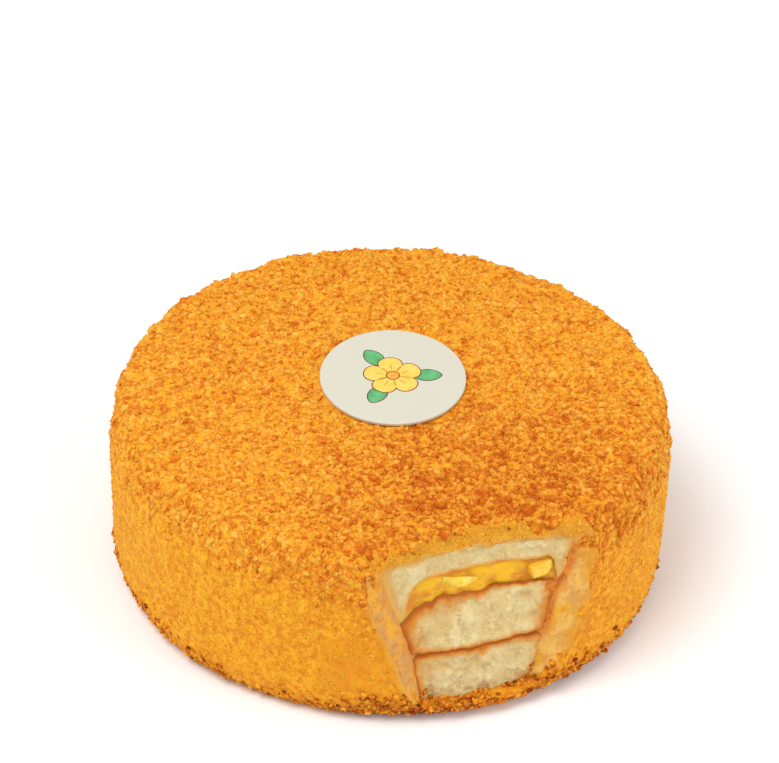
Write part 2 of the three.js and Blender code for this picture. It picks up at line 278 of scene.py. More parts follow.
# %% The rules of the shape
COAT_RADIUS = 74.3
COAT_HEIGHT = 50.6
SHOULDER = {"width": 6, "height": 18, "power": 1.9}
FOOT = {"width": 5, "height": 8, "power": 2.1}
TOP_SAG = 0.4
OUTLINE_WOBBLE = 0.5
LAYER_RADIUS = 71.0
MM_PER_DEGREE = math.radians(LAYER_RADIUS)
LEVELS = {"base": 0.0, "crust": 19.4, "filling low": 33.8, "filling high": 40.3, "top": 46.5}
LAYER_WAVE = 0.6
FILLING_END = ((65.2, 0.0), (68.0, 2.5), (70.0, 6.5))
END_LIMIT = 70.4
FURTHER = 0.6
SLUMP = {"width": 5.5, "height": 3.8}
SLUMP_OVER = 30.0
BITE_RIM_RADIUS = 75.0
BITE_TEAR = 0.45
BITE_FLOOR = 5.2
BITE_HEIGHTS = (4, 18.5, 31.5, 37, 46.5, 60)
BITE_REACH = (69.6, 69.2, 65.6, 64.4, 62.6, 57)
BITE_POWER = (5, 4, 2.8, 2.5, 2, 2)
BITE_LEFT = {"layers": (11.5, 13.6, 16.6, 18.6, 20.6, 21.6), "coat": (13, 16.5, 20.8, 22, 23.4, 24.4)}
BITE_RIGHT = {"layers": (12.8, 15, 16.6, 19.4, 21.4, 22.4), "coat": (14.5, 23, 24.8, 25.5, 25.4, 26)}
DISC = {"radius": 19.2, "length": 1.05, "thickness": 0.9, "sunk": 0.2, "seat": 24.5}
DISC_DIP = {"tilt": 2.5, "towards": -19.5, "shifted back": 3.6}


def around(radius, angle, z):
    turn = np.radians(angle)
    return np.stack(np.broadcast_arrays(radius * np.sin(turn), -radius * np.cos(turn), z), -1)


def wave(x, y, kind):
    broad = np.sin(x / 17 + 1.3 * kind) * np.cos(y / 21 - 0.7 * kind)
    narrow = np.sin(x / 6.5 + 2.1 * kind) * np.cos(y / 7.5 + kind)
    return 0.65 * broad + 0.35 * narrow


def right_share(x):
    return np.clip(0.5 + x / SLUMP_OVER, 0, 1)


def bite_edge(angle, z, where):
    """The angle, from the bite's middle, at which it leaves the layers or the coat."""
    left = np.interp(z, BITE_HEIGHTS, BITE_LEFT[where])
    right = np.interp(z, BITE_HEIGHTS, BITE_RIGHT[where])
    return np.where(angle < 0, left, right)


def bite_radius(angle, z):
    """What the bite leaves of the radius."""
    inner = bite_edge(angle, z, "layers")
    outer = bite_edge(angle, z, "coat")
    share = np.abs(angle) / inner
    within = np.minimum(share, 1)
    reach = np.interp(z, BITE_HEIGHTS, BITE_REACH)
    power = np.interp(z, BITE_HEIGHTS, BITE_POWER)
    tear = np.sin(angle * 0.83 + z * 0.31) * np.cos(z * 0.47 - angle * 0.22 + 1)
    bitten = reach + (LAYER_RADIUS - reach) * within ** power + BITE_TEAR * tear * (1 - within ** 2)
    past = (np.abs(angle) - inner) / (outer - inner)
    return np.where(share < 1, bitten, LAYER_RADIUS + (BITE_RIM_RADIUS - LAYER_RADIUS) * past)


def level_rise(x, y, z):
    """How far a level lies above or below its even height. The base and the top are flat."""
    heights = np.array(list(LEVELS.values()))
    k = np.clip(np.searchsorted(heights, z), 1, len(heights) - 1)
    share = np.clip((z - heights[k - 1]) / (heights[k] - heights[k - 1]), 0, 1)
    waves = [0 * x, wave(x, y, 1), wave(x, y, 2), wave(x, y, 3), 0 * x]
    low = np.choose(k - 1, waves)
    slumped = 1 - np.abs(z - LEVELS["filling low"]) / (LEVELS["filling low"] - LEVELS["crust"])
    outward = (np.hypot(x, y) - LAYER_RADIUS + SLUMP["width"]) / SLUMP["width"]
    slump = np.maximum(0, slumped) * np.maximum(0, outward) * (1 - right_share(x))
    return LAYER_WAVE * (low + (np.choose(k, waves) - low) * share) - SLUMP["height"] * slump


print("at mid height the bite leaves", bite_radius(np.array(0.0), 25.0).round(1), "mm of", COAT_RADIUS)

# %% [markdown]
# Unevenness comes from small rules. Lumps are soft random swellings of a chosen size. Pits
# measure how near a point is to one of many scattered centres, which gives the round pores of a
# sponge. Soft is a smooth step.

# %% Lumps and pits


def speck(cell, seed):
    """A number from 0 to 1 that depends only on a cell of space and a seed."""
    i, j, k = (cell[..., n].astype(np.int64).astype(np.uint32) for n in range(3))
    h = (i * np.uint32(374761393)) ^ (j * np.uint32(668265263)) ^ (k * np.uint32(2147483647))
    h = (h ^ np.uint32(seed * 40503 + 977)) * np.uint32(2246822519)
    h = (h ^ (h >> np.uint32(15))) * np.uint32(3266489917)
    h = (h ^ (h >> np.uint32(13))) * np.uint32(668265263)
    return (h ^ (h >> np.uint32(16))).astype(np.float64) / 4294967296


def soft(value, low, high):
    """0 below low, 1 above high, and a smooth rise between them."""
    share = np.clip((value - low) / (high - low), 0, 1)
    return share * share * (3 - 2 * share)


def lumps(points, size, seed):
    """Soft random swellings about size across, from -1 to 1."""
    place = points / size
    cell = np.floor(place)
    part = place - cell
    part = part * part * (3 - 2 * part)
    total = 0
    for corner in product((0, 1), repeat=3):
        share = np.prod(np.where(np.array(corner) == 1, part, 1 - part), axis=-1)
        total = total + share * speck(cell + corner, seed)
    return 2 * total - 1


def pits(points, size, seed):
    """How far the nearest of many scattered centres is, in shares of size."""
    place = points / size
    nearest = np.full(place.shape[:-1], 9.0)
    for near in product((-1, 0, 1), repeat=3):
        cell = np.floor(place) + near
        centre = cell + np.stack([speck(cell, seed + n) for n in (11, 22, 33)], -1)
        nearest = np.minimum(nearest, np.linalg.norm(centre - place, axis=-1))
    return nearest


def away_from(line, spots):
    """How far each spot is from the nearest point of a line."""
    tree = KDTree(len(line))
    for k, point in enumerate(line):
        tree.insert(point, k)
    tree.balance()
    return np.array([tree.find(spot)[2] for spot in spots])


some = lumps(np.random.default_rng(1).uniform(0, 60, (500, 3)), 4.0, 1)
print("lumps run from", some.min().round(2), "to", some.max().round(2))

# %% [markdown]
# A mesh is made from a grid of points: one column for each angle, one row for each step along the
# outline. Columns stand close together in the bite, where every torn crumb shows, and far apart
# where the coat hides the layers. Extra numbers, such as how near a point is to the browned skin,
# are kept on the points as marks, and the materials read them later. Carve moves every point along
# its own normal, which is how a smooth face becomes a torn one.

# %% Meshes with marks


def set_mark(mesh, name, numbers):
    layer = mesh.attributes.new(name, "FLOAT", "POINT")
    layer.data.foreach_set("value", np.asarray(numbers, dtype=np.float32).ravel())


def fresh_mesh(name, points, faces, marks):
    """A mesh object from points in millimetres."""
    mesh = bpy.data.meshes.new(name)
    mesh.from_pydata((np.asarray(points) * MM).tolist(), [], faces)
    for mark_name, numbers in marks.items():
        set_mark(mesh, mark_name, numbers)
    mesh.shade_smooth()
    mesh.update()
    return put(name, mesh)


def grid_faces(columns, rows):
    """Faces of a closed turned grid whose first and last rows meet in one point each."""
    inner = rows - 2
    at = lambda column, row: 1 + (column % columns) * inner + row
    faces = []
    for c in range(columns):
        faces.append((0, at(c + 1, 0), at(c, 0)))
        faces += [(at(c, r), at(c + 1, r), at(c + 1, r + 1), at(c, r + 1)) for r in range(inner - 1)]
        faces.append((at(c, inner - 1), at(c + 1, inner - 1), 1 + columns * inner))
    return faces


def spaced(fine_to, fine_step, coarse_step):
    """Angles round the cake, close together within fine_to of the bite's middle."""
    fine = np.arange(-fine_to, fine_to + fine_step / 2, fine_step)
    far = np.linspace(fine_to, 360 - fine_to, round((360 - 2 * fine_to) / coarse_step) + 1)[1:-1]
    return np.concatenate([fine, np.where(far > 180, far - 360, far)])


def read(data, name, size):
    numbers = np.empty(len(data) * size)
    data.foreach_get(name, numbers)
    return numbers.reshape(-1, size)


def places(thing):
    """A mesh's points in millimetres."""
    return read(thing.data.vertices, "co", 3) / MM


def mark(thing, name):
    return read(thing.data.attributes[name].data, "value", 1)[:, 0]


def carve(thing, depths):
    """Moves a mesh's points outwards, by depths in millimetres."""
    moved = places(thing) + read(thing.data.vertices, "normal", 3) * depths[:, None]
    thing.data.vertices.foreach_set("co", (moved * MM).ravel())
    thing.data.update()


def triangles(thing):
    return sum(len(face.vertices) - 2 for face in thing.data.polygons)


layer_angles = spaced(24, 0.2, 5)
print(len(layer_angles), "columns round a layer")

# %% [markdown]
# Each layer is a lens between a lower and an upper surface, cut off by the bite or by its own
# rounded edge. The marks tell the material how deep a point lies under the browned skin, and
# whether it is on the torn face at all.

# %% The layers' lower and upper surfaces
EDGE = 2.6
BASE_EDGE = 4.0
JAM_GAP = 0.15
# What level a surface follows, how far off it lies, and how wide and how high its rounded edge is
SURFACES = {"base": ("base", 0.0, BASE_EDGE, BASE_EDGE), "crust below": ("crust", -0.25, EDGE, -1.8),
            "crust above": ("crust", 0.0, EDGE, 2.2), "filling low": ("filling low", 0.0, EDGE, 0.0),
            "top": ("top", 0.0, EDGE, -EDGE)}
RAGGED = {"crust": (0.34, 41), "filling low": (0.42, 43), "filling high": (0.3, 45), "top": (0.3, 47)}


def rounding(radius, width, height):
    """How far a rounded edge has risen at a radius."""
    out = np.clip((radius - (LAYER_RADIUS - width)) / width, 0, 1)
    return height * (1 - np.sqrt(1 - out ** 2))


def filling_top(radius, angle):
    """The filling's upper surface, which runs down to nothing at its end."""
    further = FURTHER * right_share(around(radius, angle, 0.0)[..., 0])
    drop = 0 * radius
    for (near, above), (far, below) in zip(FILLING_END, FILLING_END[1:]):
        start = near + (END_LIMIT - near) * further
        stop = far + (END_LIMIT - far) * further
        drop = drop + (below - above) * np.clip((radius - start) / (stop - start), 0, 1)
    return LEVELS["filling high"] - drop


def surface(name, radius, angle):
    """The height of one of the layers' surfaces, with small tears where the teeth went through."""
    level, off, width, rise = SURFACES.get(name, ("filling high", 0.0, 0.0, 0.0))
    if name == "jam high":
        even = filling_top(radius + JAM_GAP, angle)
    elif name == "filling high":
        even = filling_top(radius, angle) + JAM_GAP
    else:
        even = LEVELS[level] + off + rounding(radius, width, rise)
    if name == "base":
        return even
    spots = around(radius, angle, 0.0)
    tall, seed = RAGGED[level]
    rough = tall * soft(radius, 50, 60) * (lumps(spots, 2.6, seed) + 0.6 * lumps(spots, 1.1, seed + 1))
    if name == "top":
        return even + rough
    lifted = level_rise(spots[..., 0], spots[..., 1], np.minimum(even, LEVELS["filling high"]))
    return even + lifted + rough


test = surface("filling high", np.array([60.0, 66.0, 70.5]), np.array([-10.0, -10.0, -10.0]))
print("the filling's top falls off towards its end:", test.round(1))

# %% Make a layer
FACE_ROWS = 66
INNER_ROWS = (0.3, 0.7, 0.92, 0.97)
ROW_SPREAD = 0.06
THINNEST = 0.05
EDGE_LUMPS = 0.35


def edge_distance(wide, heights, edge):
    """How far each point of the torn face is from the layer's lower or upper edge."""
    turns = layer_angles * MM_PER_DEGREE
    order = np.argsort(turns)
    fine = np.linspace(-25, 25, 4000) * MM_PER_DEGREE
    line = np.stack([fine, np.interp(fine, turns[order], edge[order]), 0 * fine], -1)
    spots = np.stack([wide * MM_PER_DEGREE, heights, 0 * heights], -1)
    return away_from(line, spots.reshape(-1, 3)).reshape(wide.shape)


def layer(name, low_name, high_name, cut_back=0.0):
    """A closed layer between two surfaces."""
    angles = layer_angles

    def face(z):
        """The radius at which the layer ends, at every angle."""
        spots = np.stack(np.broadcast_arrays(angles, z, 0.0), -1)
        end = LAYER_RADIUS + EDGE_LUMPS * lumps(spots, 2.0, 49)
        gap = end - (bite_radius(angles, z) - cut_back)
        return end - 0.5 * (gap + np.sqrt(gap ** 2 + 0.5))

    low_end = high_end = np.full(len(angles), LAYER_RADIUS)
    for _ in range(6):
        low_end = face(surface(low_name, low_end, angles))
        high_end = face(surface(high_name, high_end, angles))
    low_z = surface(low_name, low_end, angles)
    high_z = np.maximum(surface(high_name, high_end, angles), low_z + THINNEST)
    thick = high_z - low_z
    rows = [(share * low_end, surface(low_name, share * low_end, angles)) for share in INNER_ROWS]
    for row, level in enumerate(np.linspace(low_z.min(), high_z.max(), FACE_ROWS)):
        z = np.maximum(level, low_z + thick * ROW_SPREAD * row / FACE_ROWS)
        z = np.minimum(z, high_z - thick * ROW_SPREAD * (FACE_ROWS - 1 - row) / FACE_ROWS)
        rows.append((face(z), z))
    for radius in (share * high_end for share in reversed(INNER_ROWS)):
        low = surface(low_name, radius, angles) + THINNEST
        rows.append((radius, np.maximum(surface(high_name, radius, angles), low)))
    radii, heights = np.array(rows).transpose(1, 2, 0)
    wide = np.repeat(angles[:, None], len(rows), 1)
    inward = bite_edge(wide, heights, "layers") - np.abs(wide)
    is_face = np.zeros_like(radii)
    is_face[:, len(INNER_ROWS):len(INNER_ROWS) + FACE_ROWS] = 1
    is_face *= bite_radius(wide, heights) < LAYER_RADIUS + 0.2
    marks = {"under": edge_distance(wide, heights, high_z), "over": edge_distance(wide, heights, low_z),
             "side": np.maximum(0, inward * MM_PER_DEGREE), "face": is_face}
    marks = {mark_name: np.pad(numbers.ravel(), 1) for mark_name, numbers in marks.items()}
    low, high = ([[0, 0, surface(side, np.zeros(1), np.zeros(1))[0]]] for side in (low_name, high_name))
    points = np.vstack([low, around(radii, wide, heights).reshape(-1, 3), high])
    return fresh_mesh(name, points, grid_faces(len(angles), len(rows) + 2), marks)


sponge_bottom = layer("bottom_sponge", "base", "crust below")
sponge_middle = layer("middle_sponge", "crust above", "filling low")
sponge_top = layer("top_sponge", "filling high", "top")
filling = layer("mango_jam", "filling low", "jam high", cut_back=0.5)
print([(thing.name, triangles(thing)) for thing in (sponge_bottom, sponge_middle, sponge_top, filling)])

# %% [markdown]
# Torn sponge is rough in three sizes. It tears in ridges and hollows of several millimetres,
# between them stand soft lumps, and everywhere are pores of half a millimetre to a millimetre. The
# relief is left out near the browned skin, which is tighter and tears clean. The filling is a
# thick mango jam, which bulges out of its gap in a few slow waves.

# %% Tear the sponge and let the jam bulge
TEARS = {"ridge": (6.0, 0.75), "lump": (2.4, 0.7), "grain": (1.1, 0.42), "pore": (1.5, 0.4)}


def tear(thing, seed, strength):
    spots = places(thing)
    inward = np.minimum(np.minimum(mark(thing, "over"), mark(thing, "under")), mark(thing, "side"))
    open_crumb = mark(thing, "face") * soft(inward, 0, 1.6)
    depth = 0.5 * strength * lumps(spots * (1, 1, 0.35), 2.8, seed + 3)
    for n, kind in enumerate(("ridge", "lump", "grain")):
        size, tall = TEARS[kind]
        tall = tall if kind == "grain" else tall * strength
        depth = depth + tall * lumps(spots * (1, 1, 0.8), size, seed + 10 * n)
    size, deep = TEARS["pore"]
    patchy = soft(lumps(spots, 4.0, seed + 5), -0.5, 0.5)
    for scale in (1.0, 0.7):
        depth = depth - deep * scale * patchy * (1 - soft(pits(spots, size * scale, seed), 0.05, 0.4))
    carve(thing, depth * open_crumb)
    # Hollow keeps the depth of the tear for the material, which paints hollows darker and raised crumb
    # lighter: painted shade and painted highlight
    set_mark(thing.data, "hollow", np.clip(0.5 - 0.55 * depth * open_crumb, 0, 1))


tear(sponge_bottom, 7, 0.75)
tear(sponge_middle, 107, 1.0)
tear(sponge_top, 207, 0.65)

spots = places(filling)
bulge = 0.4 * lumps(spots * (1, 1, 0.7), 6.0, 401) + 0.35 * lumps(spots, 2.6, 402)
bulge = bulge + 0.16 * lumps(spots, 1.2, 403)
bulge = bulge + 0.3 * soft(np.minimum(mark(filling, "over"), mark(filling, "under")), 0, 2.0)
carve(filling, bulge * mark(filling, "face"))
print("the jam bulges by up to", bulge.max().round(2), "mm")

# %% [markdown]
# The coat is one closed turned form as well. Its outline runs from the middle of the top, over a
# soft shoulder, down the side and in at the foot. Where the bite has taken some of it, the outline
# goes down the bite's own surface. Behind the layers it steps back, so that the sponges stand in
# front of it, and under the bite a low lip of cream and crumbs is left on the floor.

# %% The coat's outline
OUTLINE_STEP = 0.12
TOP_POINTS = 200
BASE_RADIUS = 66.0
TOP_SHARE = 0.46
COAT_ROWS = np.concatenate([np.linspace(0, TOP_SHARE, 68)[:-1], np.linspace(TOP_SHARE, 1, 119)])
COAT_SPARED = 0.1
BEHIND_LAYERS = 2.2
STEP_WIDTH = 2.5


def along(r, z):
    """The length of an outline up to each of its points."""
    return np.concatenate([[0], np.cumsum(np.hypot(np.diff(r), np.diff(z)))])


def rounded(shape, across, down):
    """How far in and how far down a rounded corner goes."""
    power = 2 / shape["power"]
    return shape["width"] * (1 - across ** power), shape["height"] * (1 - down ** power)


def coat_profile():
    """The uncut outline from the middle of the top to the floor, in small steps."""
    bend = np.linspace(0, np.pi / 2, 60)
    top_in, top_down = rounded(SHOULDER, np.sin(bend), np.cos(bend))
    foot_in, foot_z = rounded(FOOT, np.cos(bend), np.sin(bend))
    flat = np.linspace(0, COAT_RADIUS - top_in[0], TOP_POINTS)[:-1]
    radius = np.concatenate([flat, COAT_RADIUS - top_in, COAT_RADIUS - foot_in, [BASE_RADIUS]])
    height = np.concatenate([0 * flat + COAT_HEIGHT, COAT_HEIGHT - top_down, foot_z, [0.0]])
    length = along(radius, height)
    keep = np.concatenate([[True], np.diff(length) > 1e-6])
    even = np.arange(0, length[-1], OUTLINE_STEP)
    return [np.interp(even, length[keep], numbers[keep]) for numbers in (radius, height)]


def bitten_column(angle):
    """The outline at one angle, after the bite, as radius and height for every row."""
    left = bite_radius(np.full_like(profile_z, angle), profile_z) + COAT_SPARED
    left = left + 0.4 * soft(profile_z, LEVELS["top"] - 0.5, LEVELS["top"] + 0.5)
    inside = bite_edge(np.array(angle), profile_z, "layers") - abs(angle)
    behind = np.clip((inside + 0.3) / STEP_WIDTH, 0, 1)
    behind = behind * np.clip((LEVELS["top"] - 0.5 - profile_z) / STEP_WIDTH, 0, 1)
    left = np.where(profile_z > BITE_FLOOR, left - BEHIND_LAYERS * behind, 99)
    # The top's own points beyond the bite are dropped, and the bite's face takes their place
    kept = (profile_z <= COAT_HEIGHT - 0.01) | (profile_r <= left)
    r, z = np.minimum(profile_r, left)[kept], profile_z[kept]
    length = along(r, z)
    return np.stack([np.interp(COAT_ROWS * length[-1], length, numbers) for numbers in (r, z)], -1)


profile_r, profile_z = coat_profile()
print("the coat's outline is", round(len(profile_r) * OUTLINE_STEP), "mm long")

# %% Build the coat
FULL_RINGS_FROM = 62
THINNED_OVER = 66


def stitch(faces, inner, outer):
    """Triangles between two rings, each told as (first point, count)."""
    i = o = 0
    while i < inner[1] or o < outer[1]:
        a, b = inner[0] + i % inner[1], outer[0] + o % outer[1]
        if o >= outer[1] or (i < inner[1] and (i + 1) / inner[1] <= (o + 1) / outer[1]):
            i += 1
            faces.append((a, b, inner[0] + i % inner[1]))
        else:
            o += 1
            faces.append((a, b, outer[0] + o % outer[1]))


def build_coat(angles):
    """Points, the angle of each, and faces. Rings near the middle of the top have fewer points."""
    table = np.array([bitten_column(angle) for angle in angles])
    columns = len(angles)
    closed = np.append(angles, angles[0] + 360)
    points, turns, faces = [np.array([[0, 0, COAT_HEIGHT]])], [np.zeros(1)], []
    made, last = 1, None
    for row in range(1, table.shape[1]):
        usual = np.median(table[:, row, 0])
        count = columns if usual > FULL_RINGS_FROM else max(8, round(columns * usual / THINNED_OVER))
        at = np.arange(count) * columns / count
        low = np.floor(at).astype(int)
        part = at - low
        ring = table[low, row] * (1 - part)[:, None] + table[(low + 1) % columns, row] * part[:, None]
        turns.append(closed[low] * (1 - part) + closed[low + 1] * part)
        points.append(around(ring[:, 0], turns[-1], ring[:, 1]))
        pairs = [(k, (k + 1) % count) for k in range(count)]
        if last is None:
            faces += [(0, made + a, made + b) for a, b in pairs]
        elif last[1] == count:
            faces += [(last[0] + a, made + a, made + b, last[0] + b) for a, b in pairs]
        else:
            stitch(faces, last, (made, count))
        last = (made, count)
        made += count
    faces += [(made, last[0] + b, last[0] + a) for a, b in pairs]
    return np.vstack(points + [np.zeros((1, 3))]), np.concatenate(turns + [np.zeros(1)]), faces


coat_points, coat_turns, coat_faces = build_coat(np.sort(spaced(30, 0.28, 0.78)))
print(len(coat_points), "points in the coat")

# %% [markdown]
# The coat has several finishes at once, so its points carry marks. Bitten is where teeth went
# through the cream. Rim tells the way to the bite's edge. Bare is the smooth cream that shows where
# no crumbs stick: along that edge, and in a smear to the left of the bite. Turn is the angle round
# the cake, low is the foot, which the cream paints darker as painted shade, and past tells how far
# beside the layers' bite a point lies.

# %% Mark the coat
SMEAR = {"turn": -25.0, "height": 17.0, "wide": 7.0, "tall": 13.0}
BITE_DEPTH = 2.6
RIM_BACK = 0.3
LIP = {"left": -13.5, "right": 15.0, "radius": 73.5}
rim_steps = np.linspace(0, 27, 271)
disc_middle = around(-DISC_DIP["shifted back"], DISC_DIP["towards"], 0.0)
disc_low = around(1.0, DISC_DIP["towards"], 0.0)


def rim_line():
    """Points along the edge of the bite, on the coat's outside."""
    heights = np.arange(BITE_FLOOR, COAT_HEIGHT - 0.2, 0.3)
    outside = np.interp(-heights, -profile_z[TOP_POINTS:], profile_r[TOP_POINTS:])
    line = []
    for fine in (-rim_steps, rim_steps):
        for z, radius in zip(heights, outside):
            over = bite_radius(fine, z) - RIM_BACK > radius
            line.append(around(radius, fine[np.argmax(over)], z))
    across = np.linspace(-24, 24, 161)
    line += list(around(bite_radius(across, COAT_HEIGHT) - RIM_BACK, across, COAT_HEIGHT))
    low = across[(across > LIP["left"]) & (across < LIP["right"])]
    return np.array(line + list(around(LIP["radius"], low, BITE_FLOOR)))


rim_away = away_from(rim_line(), coat_points)
coat_r = np.hypot(coat_points[:, 0], coat_points[:, 1])
coat_z = coat_points[:, 2]
bite_here = bite_radius(coat_turns, coat_z) + COAT_SPARED
bitten = ((coat_r > bite_here - BITE_DEPTH) & (coat_z > BITE_FLOOR + 0.15)
          & (np.abs(coat_turns) < bite_edge(coat_turns, coat_z, "coat") + 0.1)
          & ((coat_z < COAT_HEIGHT - 0.05) | (coat_r > bite_here - 0.05))).astype(float)

smear = np.hypot((coat_turns - SMEAR["turn"]) / SMEAR["wide"], (coat_z - SMEAR["height"]) / SMEAR["tall"])
smear = 1 - soft(smear + 0.3 * lumps(coat_points, 4.0, 31), 0.5, 1.3)
smear = smear * soft(coat_z, 7, 12) * (1 - soft(coat_z, 34, 40))
leftward = soft(-coat_turns, 6, 14) * soft(coat_z, 6, 10) * (1 - soft(coat_z, 40, 46))
rightward = soft(coat_turns, 4, 16)
rim_width = 0.1 + 2.0 * leftward - 1.3 * rightward
rim_width = rim_width + (1.9 + 2.6 * rightward) * lumps(coat_points, 4.0, 32)
rim_width = rim_width + 1.6 * lumps(coat_points, 1.5, 33)
outward = np.where(bitten > 0, -rim_away, rim_away)
over_floor = np.maximum(bitten, soft(coat_z, BITE_FLOOR + 0.3, BITE_FLOOR + 2))
edge_bare = (1 - soft(outward, rim_width - 0.6, rim_width + 0.6)) * over_floor
bare = np.maximum(edge_bare, smear)
print("bitten:", int(bitten.sum()), "points; bare:", int((bare > 0.5).sum()))

# %% Raise the coat's own relief
UNDER_CRUMBS = 0.55
# Where the side's fine crumbs give way to the top's coarse ones
TOP_CRUMBS = (36, 44)
CLEAR_OF_DISC = 19.0
disc_way = coat_points[:, :2] - disc_middle[:2]
disc_away = np.hypot(disc_way[:, 0], disc_way[:, 1])
low_side = disc_way[:, 0] * disc_low[0] + disc_way[:, 1] * disc_low[1]
seat = -DISC["sunk"] - low_side * math.tan(math.radians(DISC_DIP["tilt"]))
sag = TOP_SAG * wave(coat_points[:, 0], coat_points[:, 1], 2)
under_disc = (coat_z > COAT_HEIGHT - 3) * (1 - soft(disc_away, 20, DISC["seat"]))
circle = around(60.0, coat_turns, 0.0)
high_share = soft(coat_z, 30, COAT_HEIGHT)
wobble = OUTLINE_WOBBLE * wave(circle[:, 0], circle[:, 1], 5) * soft(coat_r, 40, 66)
shaped = coat_points.copy()
shaped[:, :2] *= (1 + wobble * (1 - 0.5 * high_share) / np.maximum(coat_r, 1))[:, None]
shaped[:, 2] += (sag + (seat - sag) * under_disc) * high_share

left_and_right = (1 - soft(np.abs(coat_turns + 12), 6, 22), 1 - soft(np.abs(coat_turns - 22), 6, 20))
near_bite = np.maximum(*left_and_right)
past_layers = (np.abs(coat_turns) - bite_edge(coat_turns, coat_z, "layers")) * MM_PER_DEGREE
# Low marks the foot, more strongly near the bite; the cream material paints it darker, as painted shade
coat = fresh_mesh("cream_coat", shaped, coat_faces,
                  {"bitten": bitten, "bare": bare, "rim": rim_away, "turn": coat_turns,
                   "low": (1 - soft(coat_z, 2, 9)) * (1 - bitten) * (0.2 + 0.8 * near_bite),
                   "past": past_layers})
off_base = (coat_z > 0.3) * 1.0
crumbly = np.minimum(1 - soft(edge_bare, 0.4, 0.7), 1 - 0.9 * smear) * off_base
crumbly = crumbly * soft(disc_away, CLEAR_OF_DISC, 20.5)
upper = soft(coat_z, *TOP_CRUMBS)
ground = (0.15 + 0.55 * upper) * lumps(coat_points, 4.2, 41)
ground = ground + (0.15 + 0.3 * upper) * lumps(coat_points, 2.1, 42)
smooth = 0.16 * lumps(coat_points * (1, 1, 0.5), 4.5, 43)
smooth = smooth + 0.1 * lumps(coat_points * (0.5, 0.5, 1.6), 1.8, 44)
carve(coat, (ground - UNDER_CRUMBS) * crumbly + smooth * (1 - crumbly) * off_base
      - 0.25 * bare * off_base * (1 - bitten))
print("the coat has", triangles(coat), "triangles")

# %% [markdown]
# Two cut cubes of mango look out of the jam. A cube of ripe mango has soft edges and slippery,
# slightly hollow sides, so it starts as a ball that is pushed part of the way to a box. Brim is
# the mark of its edges, which the material paints a darker orange, as painted shade.

# %% Mango cubes
# Where it is, half its size, how it is turned, how far it stands out, and the solid it stands for
MANGO_CUBES = {"mango_cube_left": (-2.5, (7.2, 3.4, 2.1), 6, 1.55, "mango_piece_left"),
               "mango_cube_right": (15.4, (4.2, 3.0, 2.2), -8, 1.15, "mango_piece_right")}
MANGO_SQUARENESS = 0.6
BOX_SHARE = 0.8


def mango_cube(name, angle, half, turn, stands_out, node):
    ball = bmesh.new()
    bmesh.ops.create_icosphere(ball, subdivisions=5, radius=1.0)
    spots = np.array([v.co for v in ball.verts])
    faces = [[v.index for v in face.verts] for face in ball.faces]
    ball.free()
    most = np.abs(spots).max(axis=1, keepdims=True)
    spots = spots * (1 + (BOX_SHARE / most - 1) * MANGO_SQUARENESS) * half
    middle = (LEVELS["filling low"] + LEVELS["filling high"]) / 2
    radius = float(bite_radius(np.array(float(angle)), middle)) - 0.7 - half[1] + stands_out
    place = around(radius, angle, middle)
    place[2] += level_rise(place[:1], place[1:2], np.array([middle]))[0]
    lie = np.array((turned(angle, "Z") @ turned(turn, "Y")).to_3x3())
    brim = np.maximum(np.abs(spots[:, 0]) / half[0], np.abs(spots[:, 2]) / half[2])
    cube = fresh_mesh(name, spots @ lie.T + place, faces, {"brim": brim / brim.max()})
    carve(cube, 0.35 * lumps(places(cube), 2.0, 55) + 0.75 * lumps(places(cube), 3.6, 57))
    return cube


cubes = {name: mango_cube(name, *told) for name, told in MANGO_CUBES.items()}
print("cut", len(cubes), "cubes of mango")

# %% [markdown]
# The crumbs could be painted, but a painted crumb has no edge against the light and no shadow. So
# they are real: points are strewn over the coat with a least distance between them, and each gets
# one of eight lumpy shapes in its own size and turn. Two numbers travel along with every crumb:
# tone, which is its own shade, and lift, which tells its buried foot from its free top.

# %% The crumb tree
SHAPES = 8
CROWDING = 1.6
SMALLER = 1.8


